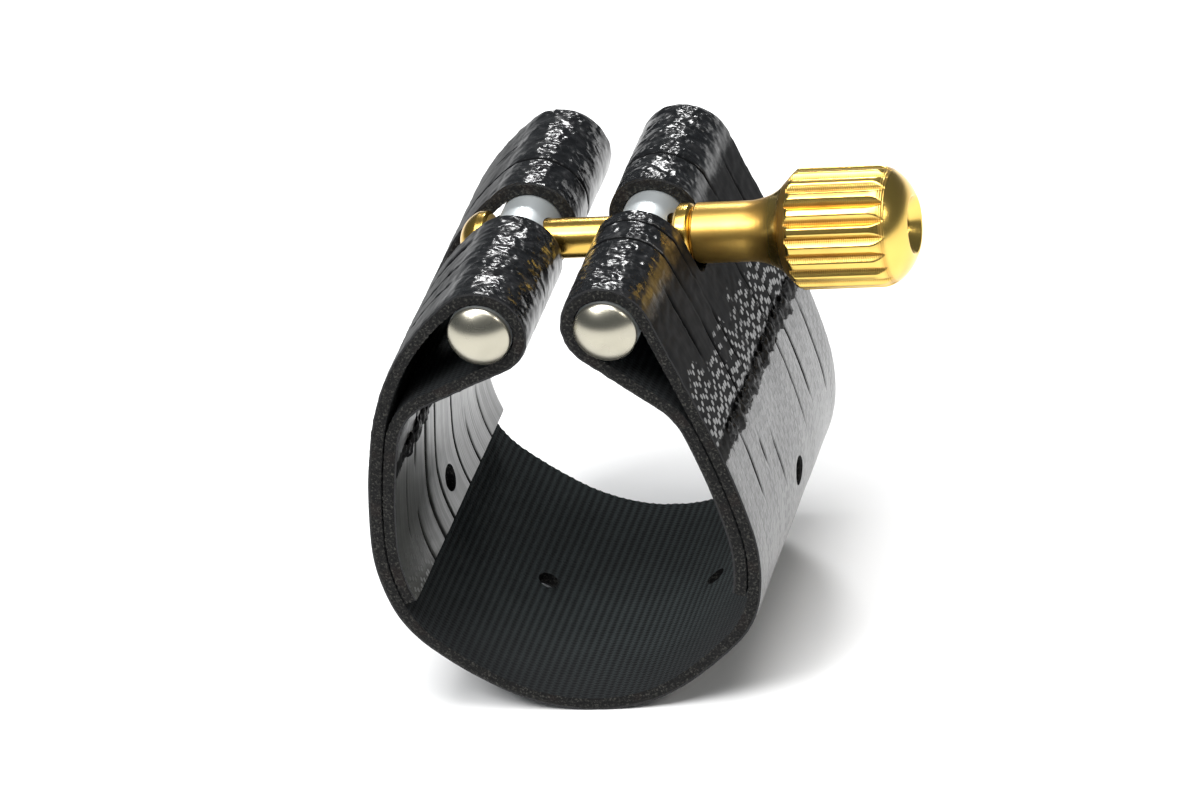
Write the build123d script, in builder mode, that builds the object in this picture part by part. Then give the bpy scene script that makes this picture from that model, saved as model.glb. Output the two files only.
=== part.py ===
from build123d import *
import math
import os

# Saxophone ligature: a stitched fabric strap with two steel bars, drawn together by a thumb screw.
#
# Origin: on the mouthpiece's axis, half way along the ligature's width.
# +X points along the screw to the thumb knob, +Y along the mouthpiece, +Z up to the bars.
# All lengths are millimetres and all angles degrees.

# ---------------------------------------------------------------- driving dimensions

# Strap
strap_width = 28.0  # along the mouthpiece
strap_t = 1.12  # coated fabric, one layer
mouthpiece_r = 13.3  # the circle that the strap closes on
layer_gap = 0.04  # between the folded flap and the outer layer
bottom_half_angle = 34.0  # each side of the lowest point, true circle
shoulder_angle = 43.0  # slope of the strap where its two shoulder arcs meet
side_low_angle = -17.0  # the doubled side begins here, below the horizontal
side_high_angle = 7.0  # and turns into the flatter wall here
wall_radius = 60.0  # outer layer between the ring and the seam
wall_angle = 9.0
flap_corner_r = 5.5  # where the flap leaves the wall for the bar
flap_end_angle = -16.5  # free end of each flap

# Bars
bar_r = 2.5
bar_spacing = 10.0  # centre to centre, with the screw eased off
bar_lean = 2.1  # middle of the pair, off the mouthpiece's axis
bar_rise = 6.9  # middle of the bars, above the mouthpiece's circle
bar_overhang = 0.45  # straight part standing out of each end of the strap
bar_dome = 1.1  # height of the rounded end
bar_fit = 0.05  # radial, bar in its loop

# Slots for the screw, at the middle of the strap's width
slot_clearance = 0.15  # round the sleeve nut's head
slot_end_r = 0.8

# Screw assembly, brass
shank_r = 1.575  # outside of the sleeve nut
shank_fit = 0.06  # radial, shank in the right bar
head_r = 2.35  # sleeve nut's head, thrust washer and knob neck share a bar stock
head_rim = 0.85
head_dome = 1.7
stud_r = 1.09
thread_fit = 0.05  # radial, stand-in for the thread's play
sleeve_overlap = 2.74  # shank inside the right bar's hole; it stays there over the whole travel
washer_t = 1.3
washer_bore_fit = 0.12  # radial, washer on the stud
face_gap = 0.03  # between faces that turn on each other
stud_reach = 8.6  # stud's end, from the middle of the right bar
stud_grip = 5.44  # length of the stud that the knob holds
edge_break = 0.25  # chamfer on the turned pieces

# Thumb knob
neck_length = 7.25  # from the washer to the bevel
neck_flare = 3.0  # last part of the neck, where it widens
neck_flare_r = 3.48
knob_r = 4.67
knob_straight = 6.3  # fluted barrel, between the bevel and the dome
knob_dome = 2.65
knob_rim_r = 2.35  # mouth of the end recess
recess_depth = 2.4
recess_bore_r = 1.45
drill_slope = 30.0  # of the cone at the recess's floor
flute_count = 20
flute_depth = 0.4
flute_width = 0.86

# Seams
thread_r = 0.32
stitch_pitch = 2.3
seam_margin = 2.4  # least distance from the last stitch to the strap's edge
stitch_hole_fit = 0.06
lock_gap = 0.03  # between the two threads and the plane where the layers meet
seam_angle = 6.6  # on the wall's arc, from where the wall begins

# Vent holes, punched
bottom_hole_r = 0.88
bottom_hole_angle = 31.5  # each side of the lowest point
side_hole_r = 1.15
side_hole_angle = -6.0  # from the horizontal

# ---------------------------------------------------------------- derived values

half_width = strap_width / 2
bottom_r = mouthpiece_r + strap_t / 2
layer_step = strap_t + layer_gap
side_r = mouthpiece_r + layer_step + strap_t / 2
loop_r = bar_r + bar_fit + strap_t / 2
left_bar_x = bar_lean - bar_spacing / 2
right_bar_x = bar_lean + bar_spacing / 2
bar_z = mouthpiece_r + bar_rise
slot_half = head_r + slot_clearance
slot_floor = bar_z - slot_half
stitch_count = int((strap_width - 2 * seam_margin) / stitch_pitch) + 1
head_face_x = left_bar_x - bar_r - face_gap
washer_x = right_bar_x + bar_r + face_gap
neck_x = washer_x + washer_t + face_gap
shank_end_x = right_bar_x - bar_r + sleeve_overlap
stud_end_x = right_bar_x - stud_reach
bevel_x = neck_x + neck_length
straight_x = bevel_x + (knob_r - neck_flare_r)
dome_x = straight_x + knob_straight
knob_end_x = dome_x + knob_dome
stud_seat_x = neck_x + stud_grip
through_cut = 3 * strap_t
vents = (
    (-90 - bottom_hole_angle, bottom_hole_r),
    (-90 + bottom_hole_angle, bottom_hole_r),
    (180 - side_hole_angle, side_hole_r),
    (side_hole_angle, side_hole_r),
)


def polar(radius, angle, centre=(0.0, 0.0)):
    """A point at an angle from the horizontal, in the strap's section."""
    turn = math.radians(angle)
    return (centre[0] + radius * math.cos(turn), centre[1] + radius * math.sin(turn))


def heading(start, end):
    """The angle of the line from one point to another."""
    return math.degrees(math.atan2(end[1] - start[1], end[0] - start[0]))


def facing(direction, point=(0.0, 0.0)):
    """A plane at a point of the section, looking along a direction in the section."""
    return Plane(
        origin=(point[0], 0, point[1]), x_dir=(0, 1, 0), z_dir=(direction[0], 0, direction[1])
    )


class StrapSide:
    """Half of the strap's middle line, drawn with x running outwards from the mouthpiece's axis.

    side is +1 for the knob's side and -1 for the other. Every stretch is an arc, so a face
    of the strap is the same arc on a radius larger or smaller by half of the thickness.
    """

    def __init__(self, side, bar_x):
        self.side = side
        self.bar = (side * bar_x, bar_z)
        # two arcs carry the single layer out to the doubled side, which stands a layer further out
        low = polar(bottom_r, -90 + bottom_half_angle)
        high = polar(side_r, side_low_angle)
        turns = (-90 + bottom_half_angle, -90 + shoulder_angle, side_low_angle)
        first = [b - a for a, b in zip(polar(1, turns[0]), polar(1, turns[1]))]
        second = [b - a for a, b in zip(polar(1, turns[1]), polar(1, turns[2]))]
        step = (high[0] - low[0], high[1] - low[1])
        cross = first[0] * second[1] - first[1] * second[0]
        self.shoulder_turns = turns
        self.shoulder_r = (
            (step[0] * second[1] - step[1] * second[0]) / cross,
            (first[0] * step[1] - first[1] * step[0]) / cross,
        )
        self.shoulder_centres = (
            polar(bottom_r - self.shoulder_r[0], turns[0]),
            polar(side_r - self.shoulder_r[1], turns[2]),
        )
        self.seam_turn = side_high_angle + wall_angle
        self.wall_centre = polar(side_r - wall_radius, side_high_angle)
        top = polar(wall_radius, self.seam_turn, self.wall_centre)
        inward = polar(-1.0, self.seam_turn)
        # one arc runs on from the wall and closes tangent to the loop round the bar
        to_top = (top[0] - self.bar[0], top[1] - self.bar[1])
        reach = to_top[0] ** 2 + to_top[1] ** 2
        along = inward[0] * to_top[0] + inward[1] * to_top[1]
        self.lead_r = (loop_r**2 - reach) / (2 * (along + loop_r))
        self.lead_centre = (top[0] + inward[0] * self.lead_r, top[1] + inward[1] * self.lead_r)
        # a negative radius bends the arc the other way, where the loop stands out past the wall
        ends = (self.lead_centre, self.bar) if self.lead_r > 0 else (self.bar, self.lead_centre)
        self.loop_start = heading(*ends)
        # the flap leaves the wall round a corner and meets the loop on a crossed tangent
        flap_top = polar(wall_radius - layer_step, self.seam_turn, self.wall_centre)
        self.corner_centre = (
            flap_top[0] + inward[0] * flap_corner_r,
            flap_top[1] + inward[1] * flap_corner_r,
        )
        gap = math.dist(self.corner_centre, self.bar)
        swing = math.degrees(math.acos((flap_corner_r + loop_r) / gap))
        self.corner_end = heading(self.corner_centre, self.bar) - swing

    def place(self, point):
        """A section point on this side of the ligature."""
        return (self.side * point[0], point[1])

    def arc(self, centre, radius, start, end):
        """An arc from one angle to another, mirrored for the left side.

        A negative radius is measured backwards along each angle, as polar() does.
        """
        behind = 0 if radius > 0 else 180
        first = behind + (start if self.side > 0 else 180 - start)
        return CenterArc(self.place(centre), abs(radius), first, (end - start) * self.side)

    def face_line(self, offset):
        """The edges of one face: offset is outwards from the middle of the outer layer."""
        ring = bottom_r + offset
        outer = side_r + offset
        inner = side_r - layer_step - offset
        self.arc((0, 0), ring, -90, -90 + bottom_half_angle)
        starts, ends = self.shoulder_turns[:-1], self.shoulder_turns[1:]
        for centre, radius, start, end in zip(self.shoulder_centres, self.shoulder_r, starts, ends):
            self.arc(centre, radius + offset, start, end)
        self.arc((0, 0), outer, side_low_angle, side_high_angle)
        self.arc(self.wall_centre, wall_radius + offset, side_high_angle, self.seam_turn)
        self.arc(self.lead_centre, self.lead_r + offset, self.seam_turn, self.loop_start)
        self.arc(self.bar, loop_r + offset, self.loop_start, self.corner_end + 180)
        Line(
            self.place(polar(loop_r + offset, self.corner_end + 180, self.bar)),
            self.place(polar(flap_corner_r - offset, self.corner_end, self.corner_centre)),
        )
        self.arc(self.corner_centre, flap_corner_r - offset, self.corner_end, self.seam_turn)
        flap_wall_r = wall_radius - layer_step - offset
        self.arc(self.wall_centre, flap_wall_r, self.seam_turn, side_high_angle)
        self.arc((0, 0), inner, side_high_angle, flap_end_angle)

    def flap_end(self):
        """The cut edge across the flap's free end."""
        middle = side_r - layer_step
        Line(
            self.place(polar(middle - strap_t / 2, flap_end_angle)),
            self.place(polar(middle + strap_t / 2, flap_end_angle)),
        )

    def seam_plane(self):
        """A plane on the outer layer's middle line at the seam, with its normal outwards."""
        point = self.place(polar(wall_radius, side_high_angle + seam_angle, self.wall_centre))
        out = self.place(polar(1, side_high_angle + seam_angle))
        return facing(out, point)


left_side = StrapSide(-1, left_bar_x)
right_side = StrapSide(+1, right_bar_x)
stitches = GridLocations(stitch_pitch, 1, stitch_count, 1)

os.makedirs("parts", exist_ok=True)

# ---------------------------------------------------------------- strap

seam_holes = []
for strap_side in (left_side, right_side):
    with BuildPart() as seam_cut:
        with BuildSketch(strap_side.seam_plane()):
            with stitches:
                Circle(thread_r + stitch_hole_fit)
        extrude(amount=through_cut, both=True)
    seam_holes.append(seam_cut.part)

slot_left = left_bar_x - mouthpiece_r
slot_right = right_bar_x + mouthpiece_r
slot_top = bar_z + 2 * loop_r

with BuildPart() as strap:
    with BuildSketch(Plane.XZ):
        with BuildLine():
            for strap_side in (left_side, right_side):
                strap_side.face_line(strap_t / 2)
                strap_side.face_line(-strap_t / 2)
                strap_side.flap_end()
        make_face()
    extrude(amount=half_width, both=True)
    # the slot that the screw works in, through both loops
    with BuildSketch(Plane.YZ.offset(slot_left)):
        with Locations((0, (slot_floor + slot_top) / 2)):
            RectangleRounded(2 * slot_half, slot_top - slot_floor, slot_end_r)
    extrude(amount=slot_right - slot_left, mode=Mode.SUBTRACT)
    # vent holes: two in the single layer below, one through the doubled layers on each side
    for vent_angle, vent_r in vents:
        with BuildSketch(facing(polar(1, vent_angle))):
            Circle(vent_r)
        extrude(amount=side_r + through_cut, mode=Mode.SUBTRACT)
    for hole_set in seam_holes:
        add(hole_set, mode=Mode.SUBTRACT)
strap.part.label = "strap"
export_step(strap.part, "parts/strap.step")

# ---------------------------------------------------------------- bars

bar_straight = half_width + bar_overhang
dome_sphere_r = (bar_r**2 + bar_dome**2) / (2 * bar_dome)


def make_bar(name, x, bore_r):
    """A solid steel rod with rounded ends and a cross hole for the screw."""
    with BuildPart() as bar:
        with BuildSketch(Plane.XY):
            with BuildLine():
                Line((0, -bar_straight - bar_dome), (0, bar_straight + bar_dome))
                RadiusArc((0, bar_straight + bar_dome), (bar_r, bar_straight), dome_sphere_r)
                Line((bar_r, bar_straight), (bar_r, -bar_straight))
                RadiusArc((bar_r, -bar_straight), (0, -bar_straight - bar_dome), dome_sphere_r)
            make_face()
        revolve(axis=Axis.Y)
        with BuildSketch(Plane.YZ.offset(-2 * bar_r)):
            Circle(bore_r)
        extrude(amount=4 * bar_r, mode=Mode.SUBTRACT)
    bar.part.locate(Location((x, 0, bar_z)))
    bar.part.label = name
    export_step(bar.part, f"parts/{name}.step")


make_bar("left_bar", left_bar_x, shank_r + shank_fit)
make_bar("right_bar", right_bar_x, shank_r + shank_fit)

# ---------------------------------------------------------------- screw assembly
# Each turned piece is a half section in X and radius, spun about the screw's axis.

screw_axis = Axis((0, 0, bar_z), (1, 0, 0))
turning = Plane(origin=(0, 0, bar_z), x_dir=(1, 0, 0), z_dir=(0, -1, 0))
head_sphere_r = (head_r**2 + head_dome**2) / (2 * head_dome)

with BuildPart() as sleeve_nut:
    with BuildSketch(turning):
        with BuildLine():
            bore = stud_r + thread_fit
            rim_x = head_face_x - head_rim
            Polyline(
                (shank_end_x, bore),
                (shank_end_x, shank_r),
                (head_face_x, shank_r),
                (head_face_x, head_r - edge_break),
                (head_face_x - edge_break, head_r),
                (rim_x, head_r),
            )
            RadiusArc((rim_x, head_r), (rim_x - head_dome, 0), -head_sphere_r)
            Polyline(
                (rim_x - head_dome, 0),
                (head_face_x, 0),
                (head_face_x, bore),
                (shank_end_x, bore),
            )
        make_face()
    revolve(axis=screw_axis)
sleeve_nut.part.label = "sleeve_nut"
export_step(sleeve_nut.part, "parts/sleeve_nut.step")

with BuildPart() as thrust_washer:
    with BuildSketch(turning):
        with BuildLine():
            Polyline(
                (washer_x, stud_r + washer_bore_fit),
                (washer_x, head_r - edge_break),
                (washer_x + edge_break, head_r),
                (washer_x + washer_t - edge_break, head_r),
                (washer_x + washer_t, head_r - edge_break),
                (washer_x + washer_t, stud_r + washer_bore_fit),
                close=True,
            )
        make_face()
    revolve(axis=screw_axis)
thrust_washer.part.label = "thrust_washer"
export_step(thrust_washer.part, "parts/thrust_washer.step")

with BuildPart() as threaded_stud:
    with BuildSketch(turning):
        with BuildLine():
            Polyline(
                (stud_end_x, 0),
                (stud_end_x, stud_r - edge_break),
                (stud_end_x + edge_break, stud_r),
                (stud_seat_x, stud_r),
                (stud_seat_x, 0),
                close=True,
            )
        make_face()
    revolve(axis=screw_axis)
threaded_stud.part.label = "threaded_stud"
export_step(threaded_stud.part, "parts/threaded_stud.step")

with BuildPart() as thumb_knob:
    with BuildSketch(turning):
        with BuildLine():
            flare_x = bevel_x - neck_flare
            Polyline(
                (stud_seat_x, 0),
                (stud_seat_x, stud_r),
                (neck_x, stud_r),
                (neck_x, head_r - edge_break),
                (neck_x + edge_break, head_r),
                (flare_x, head_r),
            )
            # the flare leaves the neck level and meets the bevel at its own slope
            Spline(
                [(flare_x, head_r), (bevel_x, neck_flare_r)],
                tangents=[(1, 0), (1, 1)],
            )
            Polyline((bevel_x, neck_flare_r), (straight_x, knob_r), (dome_x, knob_r))
            # the dome leaves the barrel level and comes down steeply to the mouth of the recess
            Spline(
                [(dome_x, knob_r), (knob_end_x, knob_rim_r)],
                tangents=[(1, 0), (0.35, -1)],
            )
            recess_wall_x = knob_end_x - (knob_rim_r - recess_bore_r)
            recess_floor_x = knob_end_x - recess_depth
            Polyline(
                (knob_end_x, knob_rim_r),
                (recess_wall_x, recess_bore_r),
                (recess_floor_x, recess_bore_r),
                (recess_floor_x - recess_bore_r * math.tan(math.radians(drill_slope)), 0),
                (stud_seat_x, 0),
            )
        make_face()
    revolve(axis=screw_axis)
    # straight V flutes, open through the bevel and running out on the dome
    with BuildSketch(Plane.YZ.offset(bevel_x)):
        with Locations((0, bar_z)):
            with PolarLocations(knob_r, flute_count):
                Polygon(
                    (-flute_depth, 0),
                    (flute_depth, flute_width),
                    (flute_depth, -flute_width),
                    align=None,
                )
    extrude(amount=knob_end_x - bevel_x, mode=Mode.SUBTRACT)
thumb_knob.part.label = "thumb_knob"
export_step(thumb_knob.part, "parts/thumb_knob.step")

# ---------------------------------------------------------------- seams
# A lockstitch: the needle thread lies outside the strap and the bobbin thread on the flap's face,
# and they reach to each other through every stitch hole, where the two layers meet.

thread_step = strap_t / 2 + thread_r
layers_meet = -layer_step / 2


def make_thread(name, seam_plane, rail, lock):
    """One thread of a seam: a rail along the stitches, with a leg down each stitch hole."""
    seam_half = stitch_pitch * (stitch_count - 1) / 2
    with BuildPart() as thread:
        with BuildSketch(seam_plane.offset(lock)):
            with stitches:
                Circle(thread_r)
        extrude(amount=rail - lock)
        rail_plane = Plane(
            origin=seam_plane.origin + seam_plane.z_dir * rail - seam_plane.x_dir * seam_half,
            x_dir=seam_plane.z_dir,
            z_dir=seam_plane.x_dir,
        )
        with BuildSketch(rail_plane):
            Circle(thread_r)
        extrude(amount=2 * seam_half)
        with Locations(
            seam_plane.origin + seam_plane.z_dir * rail - seam_plane.x_dir * seam_half,
            seam_plane.origin + seam_plane.z_dir * rail + seam_plane.x_dir * seam_half,
        ):
            Sphere(thread_r)
    thread.part.label = name
    export_step(thread.part, f"parts/{name}.step")


for side_name, strap_side in (("left", left_side), ("right", right_side)):
    plane = strap_side.seam_plane()
    flap_step = -layer_step - thread_step
    make_thread(f"{side_name}_needle_thread", plane, thread_step, layers_meet + lock_gap)
    make_thread(f"{side_name}_bobbin_thread", plane, flap_step, layers_meet - lock_gap)

print("strap", round(strap.part.volume, 1), "mm3, in", len(strap.part.solids()), "piece")
print("overall length along the screw", round(knob_end_x - strap.part.bounding_box().min.X, 2))
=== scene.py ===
# %% [markdown]
# A saxophone ligature: a strap of coated fabric, folded round two steel bars and stitched, with a
# brass thumb screw that draws the bars together. The CAD model is the frame, and it holds every
# size and every joint. This file gives each piece its looks. The hard metal pieces could be kept as
# they come from CAD, but their flat facets would show in a polished reflection, so each one is
# worked out again as a smooth surface on exactly the same sizes.

# %% Load the frame
import math

import bpy
import numpy as np
from mathutils import Matrix, Vector


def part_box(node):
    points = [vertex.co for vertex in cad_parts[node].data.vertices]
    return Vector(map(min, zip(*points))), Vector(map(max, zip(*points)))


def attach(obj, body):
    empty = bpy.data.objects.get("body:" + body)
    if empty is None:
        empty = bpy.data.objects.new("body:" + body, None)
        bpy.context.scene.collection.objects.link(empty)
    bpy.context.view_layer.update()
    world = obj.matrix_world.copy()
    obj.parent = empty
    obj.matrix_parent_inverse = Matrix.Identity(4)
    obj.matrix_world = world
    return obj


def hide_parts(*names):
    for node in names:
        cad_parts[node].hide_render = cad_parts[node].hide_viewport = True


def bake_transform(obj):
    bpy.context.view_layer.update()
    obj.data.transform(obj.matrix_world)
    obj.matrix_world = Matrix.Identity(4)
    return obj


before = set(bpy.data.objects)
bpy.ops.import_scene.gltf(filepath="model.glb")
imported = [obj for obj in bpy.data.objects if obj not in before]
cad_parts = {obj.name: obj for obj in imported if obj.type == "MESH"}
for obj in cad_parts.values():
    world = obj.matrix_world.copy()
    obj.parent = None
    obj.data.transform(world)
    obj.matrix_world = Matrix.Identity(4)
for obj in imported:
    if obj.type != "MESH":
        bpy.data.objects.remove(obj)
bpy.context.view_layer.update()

MM = 0.001  # the surfaces are worked out in millimetres and stored in metres


def span(node, axis):
    """A CAD node's lowest and highest coordinate along one axis, in millimetres."""
    low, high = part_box(node)
    return low[axis] / MM, high[axis] / MM


# %% [markdown]
# Studio. The ligature stands on a plain pale floor. The camera is far away with a long lens, so that
# the ring looks almost as it does on a drawing, and it is rolled a little. The light comes from large
# soft panels. A narrower one stands behind and above, because black leather-like coatings show
# their crinkle only where a bright edge is reflected in them.

# %% Camera, floor and lights
strap_floor = span("strap", 2)[0]

AIM = Vector((0.29, 0.53, 5.08)) * MM
CAMERA_DISTANCE = 550 * MM
AZIMUTH, ELEVATION, ROLL = 19.65, 30.07, 11.93
LENS = 210.2


def camera_axes(azimuth, elevation, roll):
    """Right, up and back directions of a camera that looks at the object from that angle."""
    a, e, r = (math.radians(x) for x in (azimuth, elevation, roll))
    back = Vector((math.sin(a) * math.cos(e), -math.cos(a) * math.cos(e), math.sin(e)))
    level = Vector((math.cos(a), math.sin(a), 0))
    upright = back.cross(level)
    right = level * math.cos(r) - upright * math.sin(r)
    return right, back.cross(right), back


def turned_to(location, axes):
    """A world matrix from a location and right, up and back directions."""
    right, up, back = axes
    rows = [[right[i], up[i], back[i], location[i]] for i in range(3)]
    return Matrix(rows + [[0, 0, 0, 1]])


view_axes = camera_axes(AZIMUTH, ELEVATION, ROLL)
camera = bpy.data.objects.new("camera", bpy.data.cameras.new("camera"))
bpy.context.scene.collection.objects.link(camera)
camera.data.lens = LENS
camera.data.sensor_width = 36
camera.data.clip_start = 0.01
camera.matrix_world = turned_to(AIM + view_axes[2] * CAMERA_DISTANCE, view_axes)
bpy.context.scene.camera = camera


def soft_light(name, azimuth, elevation, distance, size, power, colour=(1, 1, 1)):
    """A rectangular panel that faces the object from a direction given like the camera's."""
    data = bpy.data.lights.new(name, "AREA")
    data.shape = "RECTANGLE"
    data.size, data.size_y = size
    data.energy = power
    data.color = colour
    panel = bpy.data.objects.new(name, data)
    bpy.context.scene.collection.objects.link(panel)
    axes = camera_axes(azimuth, elevation, 0)
    panel.matrix_world = turned_to(AIM + axes[2] * distance, axes)
    return panel


soft_light("overhead", 20, 76, 0.60, (0.50, 0.50), 4.8)
soft_light("back_panel", 187, 35, 0.50, (0.10, 0.07), 1.0)
soft_light("front_left", -40, 52, 0.55, (0.24, 0.16), 1.7)
soft_light("right_side", 70, 34, 0.55, (0.16, 0.10), 0.5, (1.0, 0.96, 0.90))

world = bpy.data.worlds.new("studio")
bpy.context.scene.world = world
world.use_nodes = True
world.node_tree.nodes["Background"].inputs["Color"].default_value = (0.80, 0.88, 0.94, 1)
world.node_tree.nodes["Background"].inputs["Strength"].default_value = 0.14
bpy.context.scene.view_settings.view_transform = "Standard"
print("camera at", [round(x, 4) for x in camera.matrix_world.translation])

# %% [markdown]
# Shader maths. A finish is easier to read as a formula than as a cloud of nodes, so one small class
# wraps a socket, and the usual operators on it add Math nodes.


# %% Fields and finishes
class Field:
    """A number that varies over a surface: an output socket with arithmetic."""

    def __init__(self, finish, socket):
        self.finish = finish
        self.socket = socket

    def _maths(self, operation, a, b=None):
        links = {0: a} if b is None else {0: a, 1: b}
        return self.finish.node("ShaderNodeMath", {"operation": operation}, links)

    def __add__(self, other):
        return self._maths("ADD", self, other)

    def __sub__(self, other):
        return self._maths("SUBTRACT", self, other)

    def __rsub__(self, other):
        return self._maths("SUBTRACT", other, self)

    def __mul__(self, other):
        return self._maths("MULTIPLY", self, other)

    def __truediv__(self, other):
        return self._maths("DIVIDE", self, other)

    __radd__ = __add__
    __rmul__ = __mul__

    def call(self, operation, other=None):
        """Any other Math operation, such as SINE, FLOOR or MAXIMUM."""
        return self._maths(operation, self, other)

    def step(self, low, high):
        """0 below low and 1 above high, with a smooth rise between them."""
        settings = {"interpolation_type": "SMOOTHSTEP"}
        return self.finish.node("ShaderNodeMapRange", settings, {0: self, 1: low, 2: high})

    def band(self, low, high, soft):
        """1 between low and high and 0 outside, over a soft edge."""
        return self.step(low - soft, low + soft) * (1 - self.step(high - soft, high + soft))


class Finish:
    """A material with one principled shader, and the nodes that feed it."""

    def __init__(self, name, **constants):
        self.material = bpy.data.materials.new(name)
        self.material.use_nodes = True
        self.tree = self.material.node_tree
        self.shader = self.tree.nodes["Principled BSDF"]
        for socket, value in constants.items():
            self.shader.inputs[socket.replace("_", " ")].default_value = value

    def node(self, kind, settings, inputs, output=0):
        """Adds a node: its settings first, then a value or a link for each input."""
        node = self.tree.nodes.new(kind)
        for key, value in settings.items():
            setattr(node, key, value)
        for key, value in inputs.items():
            if isinstance(value, Field):
                self.tree.links.new(value.socket, node.inputs[key])
            else:
                node.inputs[key].default_value = value
        return Field(self, node.outputs[output])

    def feed(self, **fields):
        """Links fields to the shader's own sockets."""
        for socket, field in fields.items():
            self.tree.links.new(field.socket, self.shader.inputs[socket.replace("_", " ")])
        return self.material

    def dulled(self, gloss, **constants):
        """Mixes in a dull twin of the shader where gloss is below 1. Colour is shared."""
        twin = self.tree.nodes.new("ShaderNodeBsdfPrincipled")
        for socket, value in constants.items():
            twin.inputs[socket.replace("_", " ")].default_value = value
        for link in self.shader.inputs["Base Color"].links:
            self.tree.links.new(link.from_socket, twin.inputs["Base Color"])
        mix = self.tree.nodes.new("ShaderNodeMixShader")
        self.tree.links.new(gloss.socket, mix.inputs[0])
        self.tree.links.new(twin.outputs[0], mix.inputs[1])
        self.tree.links.new(self.shader.outputs[0], mix.inputs[2])
        self.tree.links.new(mix.outputs[0], self.tree.nodes["Material Output"].inputs["Surface"])
        return self.material

    def coordinates(self, attribute=None):
        """The place on the piece: its object coordinates, or one of its own attributes."""
        if attribute is None:
            return self.node("ShaderNodeTexCoord", {}, {}, "Object")
        return self.node("ShaderNodeAttribute", {"attribute_name": attribute}, {}, "Vector")

    def parts(self, vector):
        """The three numbers of a vector."""
        split = self.node("ShaderNodeSeparateXYZ", {}, {0: vector})
        return [Field(self, s) for s in split.socket.node.outputs]

    def vector(self, x, y, z=0.0):
        """A vector from three numbers."""
        return self.node("ShaderNodeCombineXYZ", {}, {0: x, 1: y, 2: z})

    def noise(self, vector, scale, detail=2.0, rough=0.5):
        """Soft cloudy noise between 0 and 1."""
        links = {"Vector": vector, "Scale": scale, "Detail": detail, "Roughness": rough}
        return self.node("ShaderNodeTexNoise", {}, links)

    def cells(self, vector, scale):
        """Distance from the nearest cell point, in cells."""
        return self.node("ShaderNodeTexVoronoi", {}, {"Vector": vector, "Scale": scale})

    def blend(self, factor, first, second):
        """A colour between two colours, each a triple or a field."""
        ends = [c if isinstance(c, Field) else (*c, 1) for c in (first, second)]
        links = {0: factor, 6: ends[0], 7: ends[1]}
        return self.node("ShaderNodeMix", {"data_type": "RGBA"}, links, 2)

    def bumped(self, height_mm):
        """A normal tilted by a height in millimetres."""
        return self.node("ShaderNodeBump", {}, {"Height": height_mm, "Distance": MM})


# %% [markdown]
# The strap's line. Seen along the mouthpiece, the strap is one long line that doubles back on
# itself: from the bottom of the ring it climbs the side, goes round the bar, turns back down
# inside and ends as a flap. It could be drawn by hand, but every stretch is really an arc tangent
# to the next, so the line is worked out from a few radii, and any place on it is one number: the
# distance along the strap from the bottom of the ring. The other number is the place across it.

# %% Sizes of the strap
strap_t = 1.12
layer_gap = 0.04
bottom_half_angle = 34.0
shoulder_angle = 43.0
side_low_angle = -17.0
side_high_angle = 7.0
wall_radius = 60.0
wall_angle = 9.0
flap_corner_r = 5.5
flap_end_angle = -16.5
bar_fit = 0.05
seam_angle = 6.6
bottom_hole_r = 0.88
bottom_hole_angle = 31.5
side_hole_r = 1.15
side_hole_angle = -6.0
slot_end_r = 0.8
slot_clearance = 0.15

half_width = span("strap", 1)[1]
mouthpiece_r = -strap_floor - strap_t
bar_r = (span("left_bar", 2)[1] - span("left_bar", 2)[0]) / 2
bar_z = sum(span("left_bar", 2)) / 2
bar_x = {-1: sum(span("left_bar", 0)) / 2, 1: sum(span("right_bar", 0)) / 2}
head_r = (span("sleeve_nut", 2)[1] - span("sleeve_nut", 2)[0]) / 2
slot_half = head_r + slot_clearance
bottom_r = mouthpiece_r + strap_t / 2
layer_step = strap_t + layer_gap
side_r = mouthpiece_r + layer_step + strap_t / 2
loop_r = bar_r + bar_fit + strap_t / 2
print("mouthpiece radius", round(mouthpiece_r, 3))
print("bar radius", round(bar_r, 3), "bar height", round(bar_z, 3))

# %% [markdown]
# The line as arcs. A stretch could be a spline through chosen points, but then its bends would
# wander in radius. Tangent arcs keep every bend round, and the length of each is its radius times
# its turn, which makes the distance along the strap exact.


# %% The line itself
def polar(radius, angle, centre=(0.0, 0.0)):
    """Points at angles in degrees from the horizontal, as an array with x and z last."""
    turn = np.radians(angle)
    return np.array(centre) + np.stack([radius * np.cos(turn), radius * np.sin(turn)], -1)


def heading(start, end):
    """The angle in degrees of the line from one point to another."""
    return math.degrees(math.atan2(end[1] - start[1], end[0] - start[0]))


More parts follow.
